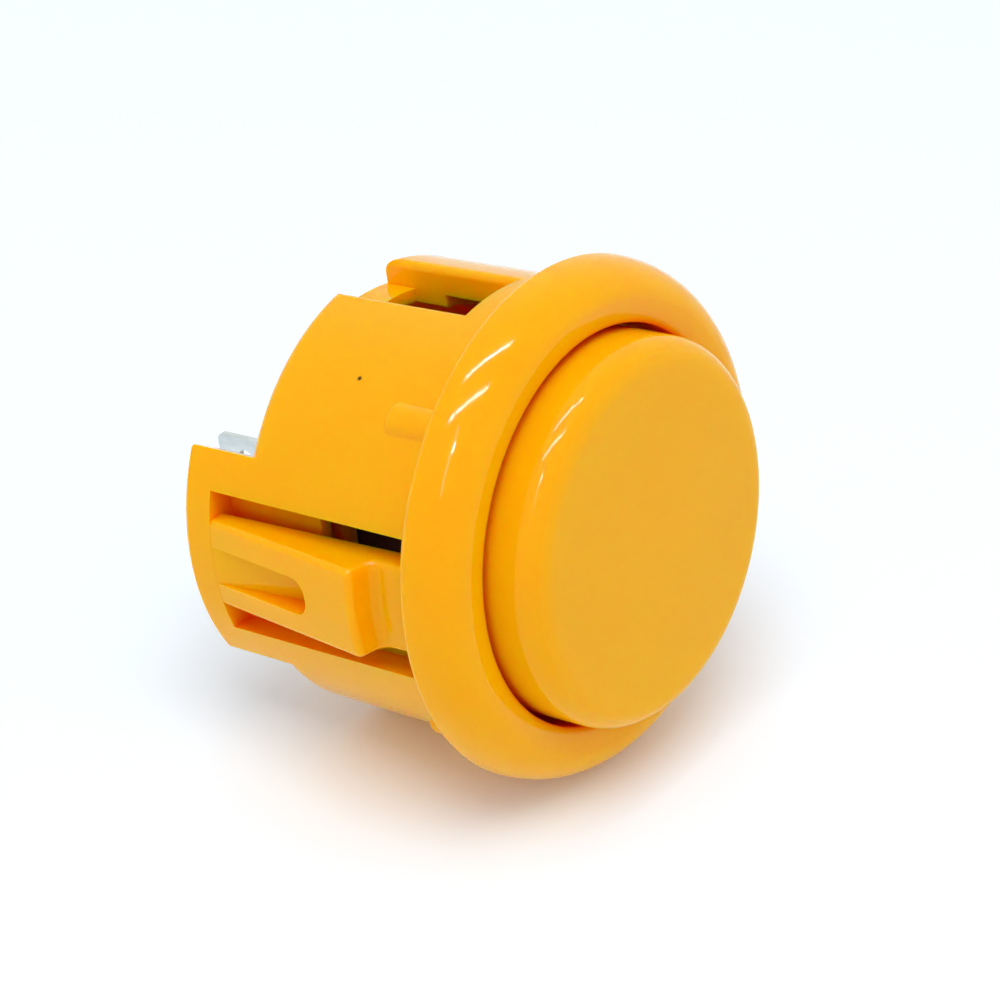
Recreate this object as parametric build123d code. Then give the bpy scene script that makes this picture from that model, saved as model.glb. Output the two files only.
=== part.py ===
from build123d import *
import os
from itertools import product
from math import asin, atan2, degrees, sqrt

# Snap-in arcade push button for a round panel hole, in millimetres.
# The origin is the centre of the panel's front face, where the bezel's flat underside sits.
# +Z is the press axis, out of the panel. The latch arms are on X and the hook channels on Y.

# Bezel and barrel
rim_overhang = 1.85
rim_height = 3.85
rim_crest_inset = 2.3
rim_back_round = 0.5
lip_drop = 0.5
barrel_wall = 2.05
barrel_taper = 0.25
barrel_depth = 14.15
rear_edge_round = 1.0
rear_bore_inset = 0.8
rear_floor_wall = 1.2
tongue_width = 14.5
tongue_length = 4.85
tongue_corner = 0.7
tongue_edge_round = 0.4
tongue_trim = 0.05

# Latch arms, moulded on the tongues
arm_width = 6.05
arm_side_gap = 1.85
arm_root_depth = 16.8
arm_root_wall = 1.05
arm_root_step = 0.02
arm_tip_wall = 1.55
arm_tip_gap = 0.5
arm_edge_round = 0.45
arm_flex_room = 1.1
slot_roof = 0.8
slot_back_wall = 0.9
slot_back_margin = 0.9
barb_height = 1.5
barb_depth = 4.1
barb_round = 0.5
catch_slope = 0.45
catch_round = 0.8
neck_inset = 0.3
pocket_width = 2.6
pocket_front_depth = 8.3
pocket_round = 1.2
pocket_floor_wall = 0.65

# Hook channels and the windows in their floors
channel_width = 5.1
channel_wall = 0.9
channel_front_depth = 3.3
channel_edge_round = 0.45
window_rear_depth = 11.9

# Centring ribs under the flange
rib_angle = 46.5
rib_width = 2.0
rib_height = 0.45
rib_length = 4.15
rib_end_round = 0.3

# Plunger
plunger_diameter = 24.8
plunger_gap = 0.4
face_height = 7.4
face_crown = 0.35
face_edge_round = 1.65
cap_wall = 1.6
skirt_wall = 1.3
skirt_depth = 0.6
travel = 2.2
web_count = 4
web_thickness = 1.0
web_height = 3.4
boss_diameter = 5.2
hook_gap = 0.15
hook_side_gap = 0.2
hook_catch = 0.6
hook_land = 0.5
hook_height = 1.5
leg_clearance = 2.3

# Switch seat inside the barrel
seat_gap = 0.15
seat_wall = 1.15
seat_height = 4.9
guide_reach = 1.5
shelf_wall = 1.5
shelf_catch = 0.6
shelf_clearance = 0.7
finger_width = 5.0
finger_hook = 0.55
finger_hook_height = 1.0
finger_gap = 0.05

# Switch case
case_length = 18.0
case_width = 10.4
case_wall = 1.0
case_corner = 0.6
cover_height = 6.5
base_height = 3.9
spigot_height = 0.4
spigot_gap = 0.1

# Switch pin and return spring
pin_diameter = 4.0
pin_gap = 0.15
pin_standout = 0.2
pin_edge_round = 0.3
pin_cap = 1.0
pin_shoulder = 0.8
pin_shoulder_height = 0.55
pin_play = 0.05
spring_wire = 0.3
spring_turns = 6
spring_gap = 0.15
spring_seat_gap = 0.05
spring_hole_diameter = 2.6

# Terminals and contacts
terminal_inset = 3.35
terminal_wall_gap = 0.15
terminal_width = 2.8
terminal_thickness = 0.5
terminal_reach = 7.8
terminal_hole_diameter = 1.2
terminal_hole_inset = 2.2
terminal_chamfer = 0.25
terminal_gap = 0.05
blade_width = 3.8
blade_thickness = 0.25
blade_tab_width = 1.6
blade_tab_gap = 0.15
blade_bead_diameter = 0.7
blade_bead_gap = 0.15
blade_end_margin = 1.2
post_rim = 0.5
contact_inset = 1.6
contact_height = 0.35
contact_diameter = 1.6
contact_gap = 0.45
fixed_contact_diameter = 1.8

# Overlap that joins two features of one moulding
weld = 0.3

# Radii, depths and places that follow from the sizes above
plunger_r = plunger_diameter / 2
skirt_r = plunger_r - skirt_wall
bore_r = plunger_r + plunger_gap
barrel_r = bore_r + barrel_wall
rim_r = barrel_r + rim_overhang
crest_r = rim_r - rim_crest_inset
tongue_depth = barrel_depth + tongue_length
barb_r = barrel_r + barb_height
neck_r = barrel_r - neck_inset
arm_tip_r = neck_r - arm_tip_wall
slot_half = arm_width / 2 + arm_side_gap
rear_bore_r = bore_r - rear_bore_inset
channel_floor = rear_bore_r + channel_wall
arm_root_r = barrel_r - barrel_taper * arm_root_depth / barrel_depth - arm_root_step - arm_root_wall
hook_top = -(channel_front_depth + hook_gap)
hook_bottom = hook_top - hook_height
bore_step_depth = travel + leg_clearance - hook_bottom
cap_underside = face_height - cap_wall

shelf_top = -(skirt_depth + travel + shelf_clearance)
case_top = shelf_top - shelf_wall
case_split = case_top - cover_height
case_bottom = case_split - base_height
case_x = case_length / 2
case_y = case_width / 2
cavity_top = case_top - case_wall
cavity_floor = case_split + spigot_height
seat_x = case_x + seat_gap
seat_y = case_y + seat_gap

pin_r = pin_diameter / 2
pin_top = case_top + travel + pin_standout
pin_bottom = cavity_top - pin_play - pin_shoulder_height
spring_hole_r = spring_hole_diameter / 2
spring_top = pin_top - pin_cap
terminal_x = case_x - terminal_inset
terminal_y = case_y - case_wall - terminal_wall_gap - terminal_width / 2
terminal_tip = case_bottom - terminal_reach
contact_x = -(terminal_x - contact_inset)
pad_top = cavity_floor + terminal_thickness
blade_bottom = pad_top + contact_height + contact_gap + contact_height
blade_top = blade_bottom + blade_thickness
pivot_z = (blade_bottom + blade_top) / 2
bead_r = blade_bead_diameter / 2


def block(x0, x1, y0, y1, z0, z1):
    """A box between two corners."""
    centre = Pos((x0 + x1) / 2, (y0 + y1) / 2, (z0 + z1) / 2)
    return centre * Box(x1 - x0, y1 - y0, z1 - z0)


def disc(radius, z0, z1):
    """A cylinder on the press axis."""
    return Pos(0, 0, (z0 + z1) / 2) * Cylinder(radius, z1 - z0)


def tube(outer_r, inner_r, z0, z1):
    """A ring on the press axis."""
    return disc(outer_r, z0, z1) - disc(inner_r, z0, z1)


def around(shape, count, start=0):
    """Copies of a shape, evenly spaced about the press axis."""
    return [Rot(0, 0, start + i * 360 / count) * shape for i in range(count)]


def vertex_near(face, x, y):
    """The corner of a flat profile that lies nearest to a point."""
    return face.vertices().sort_by_distance((x, y, 0))[0]


# Housing: bezel, barrel, tongues, latch arms, channels, ribs and the switch seat


def barrel_radius(depth):
    """The outer radius of the tapered barrel at a depth behind the panel's face."""
    return barrel_r - barrel_taper * depth / barrel_depth


def bezel():
    """The rounded ring that rests on the panel."""
    lip_z = rim_height - lip_drop
    flats = Polyline((bore_r, lip_z), (bore_r, 0), (rim_r - rim_back_round, 0))
    back = CenterArc((rim_r - rim_back_round, rim_back_round), rim_back_round, -90, 90)
    outside = EllipticalCenterArc(
        (crest_r, rim_back_round), rim_r - crest_r, rim_height - rim_back_round, 0, arc_size=90
    )
    inside = EllipticalCenterArc((crest_r, lip_z), crest_r - bore_r, lip_drop, 90, arc_size=90)
    return revolve(Plane.XZ * make_face(flats + back + outside + inside), Axis.Z)


def sector(profile, half_angle):
    """A profile in the XZ plane turned about the press axis, the same angle to each side of +X."""
    turned = revolve(Plane.XZ * profile, Axis.Z, revolution_arc=2 * half_angle)
    return Rot(0, 0, -half_angle) * turned


def barrel():
    """The tapered wall, with a tongue behind it on each latch side and its rear edges rounded."""
    rear_r = barrel_radius(tongue_depth)
    past_rear = -tongue_depth - weld
    section = make_face(
        Polyline((bore_r, 0), (bore_r, -tongue_depth), (rear_r, -tongue_depth), (barrel_r, 0), close=True)
    )
    section = fillet(vertex_near(section, rear_r, -tongue_depth), tongue_edge_round)
    wall = revolve(Plane.XZ * section, Axis.Z)

    edge_r = barrel_radius(barrel_depth) - rear_edge_round
    edge_z = rear_edge_round - barrel_depth
    rounded = CenterArc((edge_r, edge_z), rear_edge_round, -90, 90)
    around_it = Polyline(
        (edge_r + rear_edge_round, edge_z),
        (rim_r, edge_z),
        (rim_r, past_rear),
        (skirt_r, past_rear),
        (skirt_r, -barrel_depth),
        (edge_r, -barrel_depth),
    )
    tongue_half_angle = degrees(asin(tongue_width / 2 / rear_r))
    wall -= around(sector(make_face(rounded + around_it), 90 - tongue_half_angle), 2, 90)

    outline = Pos(0, -tongue_depth / 2) * RectangleRounded(tongue_width + 2 * tongue_trim, tongue_depth, tongue_corner)
    rear = block(-rim_r, rim_r, -tongue_width, tongue_width, past_rear, tongue_corner - tongue_depth)
    return wall - (rear - extrude(Plane.YZ * outline, 2 * rim_r, both=True))


def rear_liner():
    """The narrower bore behind the plunger's stroke."""
    return tube(bore_r + weld, rear_bore_r, -barrel_depth, -bore_step_depth)


def rear_floor():
    """The flat back of the barrel, open in the middle for the switch."""
    top_z = rear_floor_wall - barrel_depth
    plate = disc(bore_r + weld, -barrel_depth, top_z)
    return plate - block(-seat_x, seat_x, -seat_y, seat_y, -barrel_depth, top_z)


def slot_back_x():
    """The wall behind the slot at +X stands clear of the arm when the arm is pushed in."""
    return sqrt(arm_root_r**2 - (arm_width / 2) ** 2) - arm_flex_room


def slot_back():
    """The thick end of the tongue at +X, which also closes the latch slot from behind."""
    half = slot_half + slot_back_margin
    inner_x = slot_back_x() - slot_back_wall
    plate = block(inner_x, rim_r, -half, half, -tongue_depth, -bore_step_depth)
    return plate & disc(bore_r + weld, -tongue_depth, -bore_step_depth)


def on_outer_side(edge, half):
    """Whether an edge of the arm runs along a side of its outer face, in front of its root."""
    middle = edge @ 0.5
    outer_r = sqrt(middle.X**2 + middle.Y**2)
    ends = sorted((edge @ 0, edge @ 1), key=lambda p: p.Z)
    along_side = abs(ends[0].Y - ends[1].Y) < 1e-3 and abs(abs(middle.Y) - half) < 1e-3
    return along_side and outer_r > neck_r - arm_edge_round and ends[0].Z > -arm_root_depth - 1e-3


def latch_slot():
    """The opening in the barrel and tongue that frees the arm at +X."""
    return block(slot_back_x(), rim_r, -slot_half, slot_half, -arm_root_depth, -slot_roof)


def latch_arm():
    """The arm at +X: a ramp that ends in a barb, with rounded edges and a pocket in its back half."""
    root_z = -(arm_root_depth + weld)
    root_r = barrel_radius(arm_root_depth) - arm_root_step
    tip_z = -(slot_roof + arm_tip_gap)
    catch_z = catch_slope - barb_depth
    profile = make_face(
        Polyline(
            (arm_root_r, root_z),
            (root_r - weld, root_z),
            (root_r, -arm_root_depth),
            (barb_r, -barb_depth),
            (neck_r, catch_z),
            (neck_r, tip_z),
            (arm_tip_r, tip_z),
            close=True,
        )
    )
    profile = fillet(vertex_near(profile, barb_r, -barb_depth), barb_round)
    profile = fillet(vertex_near(profile, neck_r, catch_z), catch_round)
    half = arm_width / 2
    arm = sector(profile, 45) & block(0, rim_r, -half, half, root_z, 0)
    long_edges = [e for e in arm.edges() if on_outer_side(e, half)]
    arm = fillet(long_edges, arm_edge_round)

    pocket_rear = arm_root_depth + 2 * pocket_round
    pocket_length = pocket_rear - pocket_front_depth
    corner = min(pocket_round, 0.45 * pocket_width)
    outline = RectangleRounded(pocket_width, pocket_length, corner)
    middle = Pos(0, -(pocket_rear + pocket_front_depth) / 2)
    pocket = extrude(Plane.YZ * middle * outline, rim_r)
    share = (arm_root_depth - pocket_front_depth) / (arm_root_depth + tip_z)
    deep_r = arm_root_r + share * (arm_tip_r - arm_root_r) + pocket_floor_wall
    above_floor = make_face(
        Polyline(
            (rim_r, -pocket_rear),
            (barrel_radius(arm_root_depth), -pocket_rear),
            (barrel_radius(arm_root_depth), -arm_root_depth),
            (deep_r, -pocket_front_depth),
            (rim_r, -pocket_front_depth),
            close=True,
        )
    )
    return arm - (pocket & sector(above_floor, 45))


def hook_channel():
    """The groove at +Y for the plunger's hook, with a window through its floor."""
    half = channel_width / 2
    groove = block(-half, half, 0, rim_r, -barrel_depth, -channel_front_depth)
    groove -= disc(channel_floor, -barrel_depth, -channel_front_depth)
    window = block(-half, half, skirt_r, barrel_r, -window_rear_depth, -channel_front_depth)
    return groove + window


def on_channel_mouth(edge):
    """Whether an edge runs along a hook channel, where its side meets the barrel's outside."""
    middle = edge @ 0.5
    slant = edge % 0.5
    beside = abs(abs(middle.X) - channel_width / 2) < 1e-3 and abs(slant.Z) > 0.9
    return beside and sqrt(middle.X**2 + middle.Y**2) > barrel_radius(barrel_depth) - 1e-3


def centring_rib():
    """A half-round rib at +X, its rear end rounded over, that centres the barrel in its hole."""
    round_r = ((rib_width / 2) ** 2 + rib_height**2) / (2 * rib_height)
    middle_x = barrel_r + rib_height - round_r
    rod = Pos(middle_x, 0, -rib_length / 2) * Cylinder(round_r, rib_length)
    rod = fillet(rod.edges().sort_by(Axis.Z)[0], rib_end_round)
    return rod & block(bore_r + weld, rim_r, -rib_width, rib_width, -rib_length, 0)


def switch_seat():
    """The end wall at +X that holds the switch, with its corner guides and snap finger."""
    outer_x = seat_x + seat_wall
    seat_top = seat_height - barrel_depth
    wall = block(seat_x, outer_x, -barrel_r, barrel_r, -barrel_depth, seat_top)
    seat = wall & disc(bore_r + weld, -barrel_depth, seat_top)
    for side in (1, -1):
        near, far = sorted((side * seat_y, side * (seat_y + seat_wall)))
        seat += block(seat_x - guide_reach, outer_x, near, far, -barrel_depth, seat_top)
    half = finger_width / 2
    catch_z = case_bottom - finger_gap
    end_z = catch_z - finger_hook_height
    seat += block(seat_x, outer_x, -half, half, end_z, seat_top)
    hook = make_face(
        Polyline(
            (outer_x, catch_z), (seat_x - finger_hook, catch_z), (seat_x, end_z), (outer_x, end_z), close=True
        )
    )
    return seat + extrude(Plane.XZ * hook, half, both=True)


def switch_shelves():
    """Four corner shelves that stop the switch from above."""
    shelves = []
    for sx, sy in product((1, -1), (1, -1)):
        x0, x1 = sorted((sx * (case_x - shelf_catch), sx * (seat_x + seat_wall)))
        y0, y1 = sorted((sy * (case_y - shelf_catch), sy * barrel_r))
        corner = block(x0, x1, y0, y1, case_top, shelf_top)
        shelves.append(corner & disc(bore_r + weld, case_top, shelf_top))
    return shelves


def make_housing():
    body = bezel() + barrel() + rear_liner() + rear_floor()
    body += around(slot_back(), 2)
    body -= around(latch_slot(), 2)
    body -= around(hook_channel(), 2)
    body = fillet([e for e in body.edges() if on_channel_mouth(e)], channel_edge_round)
    body += around(latch_arm(), 2)
    for angle in (rib_angle, -rib_angle):
        body += around(centring_rib(), 2, angle)
    body += around(switch_seat(), 2)
    body += switch_shelves()
    return body


# Plunger: cap, skirt, webs, the boss that presses the pin, and two hooked legs


def plunger_cap():
    """The turned form: a slightly domed face with a rounded edge, over a thin skirt."""
    edge_z = face_height - face_crown
    crown_r = (plunger_r**2 + face_crown**2) / (2 * face_crown)
    sweep_angle = degrees(asin(plunger_r / crown_r))
    face = CenterArc((0, face_height - crown_r), crown_r, 90, -sweep_angle)
    sides = Polyline(
        (plunger_r, edge_z),
        (plunger_r, -skirt_depth),
        (skirt_r, -skirt_depth),
        (skirt_r, cap_underside),
        (0, cap_underside),
        (0, face_height),
    )
    profile = make_face(face + sides)
    profile = fillet(vertex_near(profile, plunger_r, edge_z), face_edge_round)
    return revolve(Plane.XZ * profile, Axis.Z)


def make_plunger():
    body = plunger_cap()
    body += disc(boss_diameter / 2, pin_top, cap_underside + weld)

    half_web = web_thickness / 2
    web_bottom = cap_underside - web_height
    web = block(0, skirt_r + weld, -half_web, half_web, web_bottom, cap_underside + weld)
    body += around(web, web_count, 180 / web_count)

    half_leg = channel_width / 2 - hook_side_gap
    hook_y = bore_r + hook_catch
    leg = tube(plunger_r, skirt_r, hook_bottom, weld - skirt_depth)
    leg &= block(-half_leg, half_leg, 0, plunger_r, hook_bottom, weld - skirt_depth)
    hook = make_face(
        Polyline(
            (skirt_r, hook_top),
            (hook_y, hook_top),
            (hook_y, hook_top - hook_land),
            (skirt_r + skirt_wall / 2, hook_bottom),
            (skirt_r, hook_bottom),
            close=True,
        )
    )
    leg += extrude(Plane.YZ * hook, half_leg, both=True) - disc(skirt_r, hook_bottom, hook_top)
    body += around(leg, 2)
    return body


# Switch: case, pin, spring, terminals and contacts


def make_switch_cover():
    shell = block(-case_x, case_x, -case_y, case_y, case_split, case_top)
    shell = fillet(shell.edges().filter_by(Axis.Z), case_corner)
    inner_x = case_x - case_wall
    inner_y = case_y - case_wall
    shell -= block(-inner_x, inner_x, -inner_y, inner_y, case_split, cavity_top)
    return shell - disc(pin_r + pin_gap, cavity_top, case_top)


def make_switch_base():
    plate = block(-case_x, case_x, -case_y, case_y, case_bottom, case_split)
    plate = fillet(plate.edges().filter_by(Axis.Z), case_corner)
    spigot_x = case_x - case_wall - spigot_gap
    spigot_y = case_y - case_wall - spigot_gap
    plate += block(-spigot_x, spigot_x, -spigot_y, spigot_y, case_split, cavity_floor)
    half_t = terminal_thickness / 2 + terminal_gap
    half_w = terminal_width / 2 + terminal_gap
    slot = block(-half_t, half_t, -half_w, half_w, case_bottom, cavity_floor)
    return plate - around(Pos(terminal_x, -terminal_y) * slot, 2)


def make_switch_actuator():
    pin = make_face(
        Polyline(
            (0, pin_top),
            (pin_r, pin_top),
            (pin_r, cavity_top - pin_play),
            (pin_r + pin_shoulder, cavity_top - pin_play),
            (pin_r + pin_shoulder, pin_bottom),
            (spring_hole_r, pin_bottom),
            (spring_hole_r, spring_top),
            (0, spring_top),
            close=True,
        )
    )
    pin = fillet(vertex_near(pin, pin_r, pin_top), pin_edge_round)
    return revolve(Plane.XZ * pin, Axis.Z)


def make_return_spring():
    coil_r = spring_hole_r - spring_gap - spring_wire / 2
    end_gap = spring_seat_gap + spring_wire / 2
    low = blade_top + end_gap
    height = spring_top - end_gap - low
    path = Pos(0, 0, low) * Helix(height / spring_turns, height, coil_r)
    section = Plane(path @ 0, z_dir=path % 0) * Circle(spring_wire / 2)
    return sweep(section, path, is_frenet=True)


def terminal_tab():
    """The blade of a terminal in the plane x = 0, from its tip up into the case."""
    height = pad_top - terminal_tip
    outline = Pos(0, (pad_top + terminal_tip) / 2) * Rectangle(terminal_width, height)
    tip_corners = outline.vertices().sort_by(Axis.Y)[:2]
    outline = chamfer(tip_corners, terminal_chamfer)
    hole = Pos(0, terminal_tip + terminal_hole_inset) * Circle(terminal_hole_diameter / 2)
    return extrude(Plane.YZ * (outline - hole), terminal_thickness / 2, both=True)


def make_common_terminal():
    """The tab, with an upright post whose window holds the blade's rolled end."""
    half_t = terminal_thickness / 2
    tab = Pos(terminal_x, -terminal_y) * terminal_tab()
    window_half = blade_tab_width / 2 + blade_tab_gap
    window_top = pivot_z + bead_r + blade_bead_gap
    window_bottom = pivot_z - bead_r - blade_bead_gap
    x0 = terminal_x - half_t
    x1 = terminal_x + half_t
    y0 = -(terminal_y + terminal_width / 2)
    y1 = window_half + post_rim
    post = block(x0, x1, y0, y1, cavity_floor, window_top + post_rim)
    return tab + post - block(x0, x1, -window_half, window_half, window_bottom, window_top)


def make_normally_open_terminal():
    """The tab, with a flat pad on the base that carries the fixed contact."""
    half_t = terminal_thickness / 2
    tab = Pos(-terminal_x, terminal_y) * terminal_tab()
    pad_half = fixed_contact_diameter / 2 + post_rim
    x0 = -terminal_x - half_t
    x1 = contact_x + pad_half
    y1 = terminal_y + terminal_width / 2
    return tab + block(x0, x1, -pad_half, y1, cavity_floor, pad_top)


def make_contact_blade():
    """A flat strip that ends in a narrow tab, rolled into the bead that it swings on."""
    half = blade_width / 2
    half_tab = blade_tab_width / 2
    strip_end = terminal_x - max(terminal_thickness / 2, bead_r) - blade_tab_gap
    free_end = contact_x - blade_end_margin
    strip = block(free_end, strip_end, -half, half, blade_bottom, blade_top)
    tab = block(0, terminal_x, -half_tab, half_tab, blade_bottom, blade_top)
    bead = Pos(terminal_x, 0, pivot_z) * Rot(90, 0, 0) * Cylinder(bead_r, blade_tab_width)
    return strip + tab + bead


def make_moving_contact():
    return Pos(contact_x, 0) * disc(contact_diameter / 2, blade_bottom - contact_height, blade_bottom)


def make_fixed_contact():
    return Pos(contact_x, 0) * disc(fixed_contact_diameter / 2, pad_top, pad_top + contact_height)


pieces = {
    "housing": make_housing(),
    "plunger": make_plunger(),
    "switch_cover": make_switch_cover(),
    "switch_base": make_switch_base(),
    "switch_actuator": make_switch_actuator(),
    "return_spring": make_return_spring(),
    "contact_blade": make_contact_blade(),
    "moving_contact": make_moving_contact(),
    "fixed_contact": make_fixed_contact(),
    "common_terminal": make_common_terminal(),
    "normally_open_terminal": make_normally_open_terminal(),
}

os.makedirs("parts", exist_ok=True)
for name, solid in pieces.items():
    export_step(solid, f"parts/{name}.step")

blade_arm = terminal_x - contact_x
print("blade pivot", terminal_x, pivot_z)
print("blade swing that closes the contacts, degrees", degrees(atan2(contact_gap, blade_arm)))
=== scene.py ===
import bmesh
import bpy
from math import cos, pi, radians, sin, tau
from mathutils import Matrix, Vector


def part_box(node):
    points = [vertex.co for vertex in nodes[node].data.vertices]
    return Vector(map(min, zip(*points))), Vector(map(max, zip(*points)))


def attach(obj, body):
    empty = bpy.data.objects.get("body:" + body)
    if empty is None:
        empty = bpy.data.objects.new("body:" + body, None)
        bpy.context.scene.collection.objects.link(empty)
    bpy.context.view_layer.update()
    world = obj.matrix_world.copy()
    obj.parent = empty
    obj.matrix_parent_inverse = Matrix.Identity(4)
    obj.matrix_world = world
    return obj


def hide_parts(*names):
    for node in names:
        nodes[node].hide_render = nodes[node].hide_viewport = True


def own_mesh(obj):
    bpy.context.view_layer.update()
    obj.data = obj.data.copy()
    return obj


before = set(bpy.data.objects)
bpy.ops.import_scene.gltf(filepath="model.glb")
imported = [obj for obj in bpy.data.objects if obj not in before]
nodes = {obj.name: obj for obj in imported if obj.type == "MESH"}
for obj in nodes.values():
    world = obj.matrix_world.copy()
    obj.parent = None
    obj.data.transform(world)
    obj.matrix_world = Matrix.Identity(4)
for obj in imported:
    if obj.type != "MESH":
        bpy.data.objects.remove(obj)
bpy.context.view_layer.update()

# Housing: one injection moulding of glossy yellow ABS, bezel, barrel, latch arms and switch seat together.
# The mould was polished, so lamps show as sharp streaks. The plastic lets a little light in, and a painted
# orange light deepens its slots and gaps where they are closed in. A speck of burnt plastic sits in the
# barrel's side.
MM = 0.001

# Sockets of a Mix node, which has a set of them for each kind of value
SHARE, NUMBER_A, NUMBER_B, COLOUR_A, COLOUR_B = 0, 2, 3, 6, 7
MIXED_NUMBER, MIXED_COLOUR = 0, 2


def srgb(code):
    """Linear colour of an sRGB hex code."""
    parts = [int(code[i:i + 2], 16) / 255 for i in (1, 3, 5)]
    linear = [c / 12.92 if c <= 0.04045 else ((c + 0.055) / 1.055) ** 2.4 for c in parts]
    return (*linear, 1.0)


def add(tree, kind, inputs=None, **settings):
    """A new node with its settings; an input is a value or another node's output socket."""
    node = tree.nodes.new(kind)
    for name, value in settings.items():
        setattr(node, name, value)
    for name, value in (inputs or {}).items():
        if isinstance(value, bpy.types.NodeSocket):
            tree.links.new(value, node.inputs[name])
        else:
            node.inputs[name].default_value = value
    return node


def surface_finish(name, tones, cloud, gloss, texture, depth, stretch=(1, 1, 1), **constants):
    """A material: its tone clouds between two hex codes, and a finer texture sets roughness and relief.

    The cloud and the texture are given by the width of their blotches, and a stretch value below one
    draws them out along that axis. The other values are constants of the shader's sockets.
    """
    material = bpy.data.materials.new(name)
    material.use_nodes = True
    tree = material.node_tree
    shader = tree.nodes["Principled BSDF"]
    for socket, value in constants.items():
        shader.inputs[socket.replace("_", " ")].default_value = value
    position = add(tree, "ShaderNodeTexCoord").outputs["Object"]
    drawn = add(tree, "ShaderNodeMapping", {"Vector": position, "Scale": stretch}).outputs["Vector"]
    clouds = add(tree, "ShaderNodeTexNoise", {"Vector": drawn, "Scale": 1 / cloud, "Detail": 3.0})
    grain = add(tree, "ShaderNodeTexNoise", {"Vector": drawn, "Scale": 1 / texture, "Detail": 3.0})
    middle = {"From Min": 0.3, "From Max": 0.7}
    tone = add(tree, "ShaderNodeMapRange", {**middle, "Value": clouds.outputs["Fac"]})
    dark, light = tones
    both = {SHARE: tone.outputs["Result"], COLOUR_A: srgb(dark), COLOUR_B: srgb(light)}
    colour = add(tree, "ShaderNodeMix", both, data_type="RGBA")
    sharp, dull = gloss
    ends = {"To Min": sharp, "To Max": dull}
    rough = add(tree, "ShaderNodeMapRange", {**middle, **ends, "Value": grain.outputs["Fac"]})
    relief = add(tree, "ShaderNodeBump", {"Height": grain.outputs["Fac"], "Distance": depth})
    tree.links.new(colour.outputs[MIXED_COLOUR], shader.inputs["Base Color"])
    tree.links.new(rough.outputs["Result"], shader.inputs["Roughness"])
    tree.links.new(relief.outputs["Normal"], shader.inputs["Normal"])
    return material


# Painted light in crevices: the reach of the occlusion, the orange painted there and where it fades out.
crevice_width = 4 * MM
painted_crevice_tone = "#FF6400"
crevice_air = {"From Min": 0.1, "From Max": 0.5}


def paint_crevice_light(material):
    """Painted light: crevices turn orange by their occlusion, for light that has gone through the plastic a
    few times.
    """
    tree = material.node_tree
    shader = tree.nodes["Principled BSDF"]
    plain = shader.inputs["Base Color"].links[0].from_socket
    air = add(tree, "ShaderNodeAmbientOcclusion", {"Distance": crevice_width}, samples=8)
    share = add(tree, "ShaderNodeMapRange", {**crevice_air, "Value": air.outputs["AO"]})
    both = {SHARE: share.outputs["Result"], COLOUR_A: srgb(painted_crevice_tone), COLOUR_B: plain}
    colour = add(tree, "ShaderNodeMix", both, data_type="RGBA")
    tree.links.new(colour.outputs[MIXED_COLOUR], shader.inputs["Base Color"])


def paint(node_name, material):
    """Gives a CAD node its material."""
    mesh = nodes[node_name].data
    mesh.materials.clear()
    mesh.materials.append(material)


yellow_abs = {
    "IOR": 1.53,
    "Specular_IOR_Level": 0.12,
    "Subsurface_Weight": 1.0,
    "Subsurface_Radius": (1.0, 0.2, 0.02),
    "Subsurface_Scale": 1.5 * MM,
}
abs_gloss = surface_finish(
    "moulded_abs_gloss",
    tones=("#FDAC00", "#FEB002"),
    cloud=8 * MM,
    gloss=(0.07, 0.11),
    texture=3 * MM,
    depth=0.006 * MM,
    **yellow_abs,
)
# Painted light: orange in the housing's slots, window and gaps, where they are closed in.
paint_crevice_light(abs_gloss)
speck_angle = radians(-54.5)
speck_r = 14.72 * MM
speck_place = (speck_r * cos(speck_angle), speck_r * sin(speck_angle), -7.6 * MM)
speck_fade = {"From Min": 0.08 * MM, "From Max": 0.2 * MM, "To Min": 1.0, "To Max": 0.0}
tree = abs_gloss.node_tree
shader = tree.nodes["Principled BSDF"]
position = add(tree, "ShaderNodeTexCoord").outputs["Object"]
away = add(tree, "ShaderNodeVectorMath", {0: position, 1: speck_place}, operation="DISTANCE")
speck = add(tree, "ShaderNodeMapRange", {**speck_fade, "Value": away.outputs["Value"]})
clean = shader.inputs["Base Color"].links[0].from_socket
both = {SHARE: speck.outputs["Result"], COLOUR_A: clean, COLOUR_B: srgb("#3A2206")}
burnt = add(tree, "ShaderNodeMix", both, data_type="RGBA")
tree.links.new(burnt.outputs[MIXED_COLOUR], shader.inputs["Base Color"])
paint("housing", abs_gloss)

# Plunger: the cap the finger presses, moulded in the same yellow ABS. It snaps into the barrel by two hooks.
# Its side and rounded edge are as glossy as the bezel, and its face is satin.
abs_smooth = surface_finish(
    "moulded_abs_smooth",
    tones=("#FDAB02", "#FEAF05"),
    cloud=12 * MM,
    gloss=(0.08, 0.12),
    texture=3 * MM,
    depth=0.003 * MM,
    **yellow_abs,
)
# Painted light: orange on the plunger's side where it sits closed in by the bezel.
paint_crevice_light(abs_smooth)
face_start = {"From Min": 6.6 * MM, "From Max": 7.05 * MM}
face_roughness = 0.45
tree = abs_smooth.node_tree
shader = tree.nodes["Principled BSDF"]
position = add(tree, "ShaderNodeTexCoord").outputs["Object"]
height = add(tree, "ShaderNodeSeparateXYZ", {"Vector": position}).outputs["Z"]
on_face = add(tree, "ShaderNodeMapRange", {**face_start, "Value": height}).outputs["Result"]
polish = shader.inputs["Roughness"].links[0].from_socket
satin = add(tree, "ShaderNodeMix", {SHARE: on_face, NUMBER_A: polish, NUMBER_B: face_roughness})
tree.links.new(satin.outputs[MIXED_NUMBER], shader.inputs["Roughness"])
paint("plunger", abs_smooth)

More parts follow.
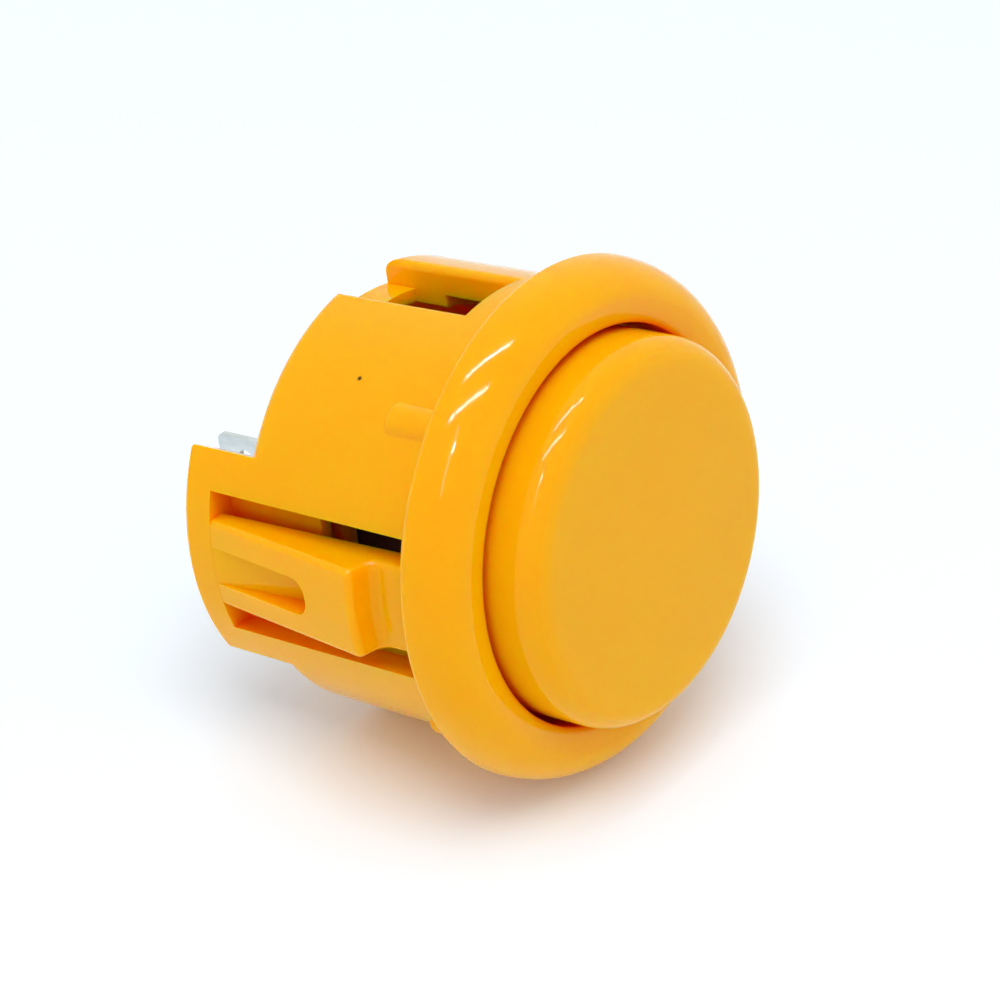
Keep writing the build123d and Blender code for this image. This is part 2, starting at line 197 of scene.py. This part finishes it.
# Switch case: two black mouldings of glass-filled PBT, snapped together and held in the seat by two fingers.
# The glass fibres leave a fine matt grain along the flow.
pbt_black = surface_finish(
    "moulded_pbt_black",
    tones=("#15110E", "#211B16"),
    cloud=0.9 * MM,
    gloss=(0.38, 0.55),
    texture=0.25 * MM,
    depth=0.01 * MM,
    stretch=(0.4, 1, 1),
    IOR=1.57,
)
paint("switch_cover", pbt_black)
paint("switch_base", pbt_black)

# Switch pin: a black acetal button in the case's roof that the plunger pushes.
# It is turned from rod, so faint rings run round it.
acetal_black = surface_finish(
    "turned_acetal_black",
    tones=("#1B1918", "#262322"),
    cloud=0.5 * MM,
    gloss=(0.25, 0.4),
    texture=0.4 * MM,
    depth=0.006 * MM,
    stretch=(0.5, 0.5, 3),
    IOR=1.48,
)
paint("switch_actuator", acetal_black)

# Return spring: drawn steel wire wound with closed end turns, standing on the blade inside the pin.
# It is wound anew here as a round wire at its rest length; the real one shortens as the plunger goes down.
spring_low, spring_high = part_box("return_spring")
wire_r = 0.15 * MM
wire_sides = 12
coil_r = spring_high.x - wire_r
coil_rise = spring_high.z - spring_low.z - 2 * wire_r
closed_rise = 0.33 * MM
open_turns = 4
steps_per_turn = 40


def put(name, data):
    """A new object in the scene for a mesh, a lamp or a camera."""
    thing = bpy.data.objects.new(name, data)
    bpy.context.scene.collection.objects.link(thing)
    return thing


bm = bmesh.new()
bmesh.ops.create_circle(bm, segments=wire_sides, radius=wire_r)
bmesh.ops.rotate(bm, verts=bm.verts, matrix=Matrix.Rotation(pi / 2, 3, "X"))
bmesh.ops.translate(bm, verts=bm.verts, vec=(coil_r, 0, spring_low.z + wire_r))
first_ring = list(bm.edges)
end_ring = list(bm.edges)
for turns, rise in ((1, closed_rise), (open_turns, coil_rise - 2 * closed_rise), (1, closed_rise)):
    steps = steps_per_turn * turns
    wound = bmesh.ops.spin(
        bm,
        geom=end_ring,
        cent=(0, 0, 0),
        axis=(0, 0, 1),
        dvec=(0, 0, rise / steps),
        angle=tau * turns,
        steps=steps,
        use_merge=False,
        use_duplicate=False,
    )
    end_ring = [e for e in wound["geom_last"] if isinstance(e, bmesh.types.BMEdge)]
bmesh.ops.edgeloop_fill(bm, edges=first_ring)
bmesh.ops.edgeloop_fill(bm, edges=end_ring)
bmesh.ops.recalc_face_normals(bm, faces=bm.faces)
for face in bm.faces:
    face.smooth = len(face.verts) < wire_sides
mesh = bpy.data.meshes.new("return_spring_wire")
bm.to_mesh(mesh)
bm.free()
spring = put("return_spring_wire", mesh)
spring_steel = surface_finish(
    "drawn_spring_steel",
    tones=("#A9ABAC", "#C9CBCB"),
    cloud=0.4 * MM,
    gloss=(0.2, 0.36),
    texture=0.12 * MM,
    depth=0.002 * MM,
    stretch=(1, 1, 4),
    Metallic=1.0,
)
mesh.materials.append(spring_steel)
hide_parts("return_spring")
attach(spring, "housing")
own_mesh(spring)

# Contact blade: a strip of phosphor bronze that the pin bends down onto the fixed contact.
# It is cut from rolled sheet, so fine lines run along it.
bronze = surface_finish(
    "rolled_phosphor_bronze",
    tones=("#B9814F", "#CF9C66"),
    cloud=0.8 * MM,
    gloss=(0.24, 0.4),
    texture=0.4 * MM,
    depth=0.003 * MM,
    stretch=(0.08, 1, 1),
    Metallic=1.0,
)
paint("contact_blade", bronze)

# Contacts: two riveted buttons of silver alloy, one under the blade and one on the terminal.
# Their faces are dulled in patches by the sparks.
silver = surface_finish(
    "riveted_silver_alloy",
    tones=("#C9C6BF", "#E2E1DD"),
    cloud=0.4 * MM,
    gloss=(0.22, 0.42),
    texture=0.3 * MM,
    depth=0.002 * MM,
    Metallic=1.0,
)
paint("moving_contact", silver)
paint("fixed_contact", silver)

# Terminals: two brass tabs stamped from strip and tin plated, pressed into the switch base.
# The tin has a soft grey bloom drawn out along the tab.
tinned = surface_finish(
    "tin_plated_brass",
    tones=("#C2C6C4", "#DADDDB"),
    cloud=0.8 * MM,
    gloss=(0.26, 0.42),
    texture=0.25 * MM,
    depth=0.004 * MM,
    stretch=(1, 1, 0.35),
    Metallic=1.0,
)
paint("common_terminal", tinned)
paint("normally_open_terminal", tinned)

# Floor: a white table that the button lies on, touching it by the rim and the lower hook channel.
# It keeps the shadow and can't be seen from below. A share of the room's light comes up through it,
# so that the button's underside isn't black when it is looked at from there.
floor_up = Vector((0, -0.986, 0.166)).normalized()
floor_depth = 16.39 * MM
floor_side = 400 * MM
floor_density = 0.8
bm = bmesh.new()
bmesh.ops.create_grid(bm, x_segments=1, y_segments=1, size=floor_side / 2)
bmesh.ops.rotate(bm, verts=bm.verts, matrix=floor_up.to_track_quat("Z", "X").to_matrix())
bmesh.ops.translate(bm, verts=bm.verts, vec=floor_up * -floor_depth)
mesh = bpy.data.meshes.new("floor")
bm.to_mesh(mesh)
bm.free()
floor = put("floor", mesh)
floor.visible_shadow = False


def shown(tree):
    """One for rays that show a thing, straight or in a reflection, and zero for those that light it."""
    path = add(tree, "ShaderNodeLightPath").outputs
    share = path["Is Camera Ray"]
    for kind in ("Is Glossy Ray", "Is Transmission Ray"):
        share = add(tree, "ShaderNodeMath", {0: share, 1: path[kind]}, operation="MAXIMUM").outputs[0]
    return share


white_table = bpy.data.materials.new("white_table")
white_table.use_nodes = True
tree = white_table.node_tree
tree.nodes.clear()
dense = add(tree, "ShaderNodeMath", {0: shown(tree), 1: floor_density}, operation="MAXIMUM").outputs[0]
behind = add(tree, "ShaderNodeNewGeometry").outputs["Backfacing"]
front = add(tree, "ShaderNodeMath", {0: dense, 1: behind}, operation="SUBTRACT", use_clamp=True).outputs[0]
clear = add(tree, "ShaderNodeBsdfTransparent").outputs[0]
white = add(tree, "ShaderNodeBsdfDiffuse", {"Color": srgb("#F4FBFF")}).outputs[0]
table = add(tree, "ShaderNodeMixShader", {0: front, 1: clear, 2: white}).outputs[0]
add(tree, "ShaderNodeOutputMaterial", {"Surface": table})
mesh.materials.append(white_table)

# Light: a white room, with a softbox over the table that throws the shadow and has no reflection.
# Two tubes and two far lamps light nothing and only show as the streaks on the bezel and the plunger's edge.
room = bpy.data.worlds.new("room")
bpy.context.scene.world = room
room.use_nodes = True
tree = room.node_tree
tree.nodes.clear()
fill = add(tree, "ShaderNodeBackground", {"Color": srgb("#F0F7FF"), "Strength": 0.85}).outputs[0]
backdrop = add(tree, "ShaderNodeBackground", {"Color": srgb("#FAFFFF"), "Strength": 1.0}).outputs[0]
sky = add(tree, "ShaderNodeMixShader", {0: shown(tree), 1: fill, 2: backdrop}).outputs[0]
add(tree, "ShaderNodeOutputWorld", {"Surface": sky})
lamp_distance = 600 * MM


def lamp(name, direction, length, width, power, along=(0, 0, 1)):
    """A flat lamp that faces the button, its long side as near to the given line as can be."""
    light = bpy.data.lights.new(name, "AREA")
    light.shape = "RECTANGLE"
    light.size = length
    light.size_y = width
    light.energy = power
    holder = put(name, light)
    back = Vector(direction).normalized()
    along = Vector(along)
    along = (along - back * along.dot(back)).normalized()
    holder.matrix_world = Matrix((along, back.cross(along), back)).transposed().to_4x4()
    holder.location = back * lamp_distance
    return holder


softbox_side = 360 * MM
softbox = lamp("softbox", (0.28, -0.9, 0.32), softbox_side, softbox_side, 1.6)
softbox.visible_glossy = False
# Each streak lamp: the directions of its two ends, its width and its power
streaks = {
    "tube_a": ((0.23, -0.919, -0.321), (-0.153, -0.95, 0.272), 22 * MM, 2.4),
    "tube_b": ((0.513, -0.826, -0.235), (0.168, -0.888, 0.428), 22 * MM, 2.4),
    "far_strip": ((0.849, -0.489, 0.201), (0.528, -0.842, 0.115), 12 * MM, 0.3),
    "far_spot": ((0.665, -0.722, 0.196), (0.613, -0.766, 0.192), 14 * MM, 0.45),
}
for name, (start, end, width, power) in streaks.items():
    start = Vector(start).normalized()
    end = Vector(end).normalized()
    length = (end - start).length * lamp_distance
    tube = lamp(name, start + end, length, width, power, end - start)
    tube.visible_diffuse = False

# Camera: a long lens above the table on the latch's side, level but for a slight lean.
# Its place and lens are fitted to the photograph.
camera_place = Vector((155.78, -101.63, 128.11)) * MM
camera_aim = Vector((-0.03, -0.05, -5.13)) * MM
camera_lean = radians(0.7)
focal_pixels = 3600
image_pixels = 1000
lens = bpy.data.cameras.new("camera")
lens.sensor_width = 36
lens.lens = lens.sensor_width * focal_pixels / image_pixels
lens.clip_start = 10 * MM
camera = put("camera", lens)
ahead = (camera_aim - camera_place).normalized()
level = ahead.cross(floor_up).normalized()
lean = Matrix.Rotation(-camera_lean, 3, ahead)
right = lean @ level
over = lean @ level.cross(ahead)
camera.matrix_world = Matrix((right, over, -ahead)).transposed().to_4x4()
camera.location = camera_place
bpy.context.scene.camera = camera
bpy.context.scene.view_settings.view_transform = "Standard"
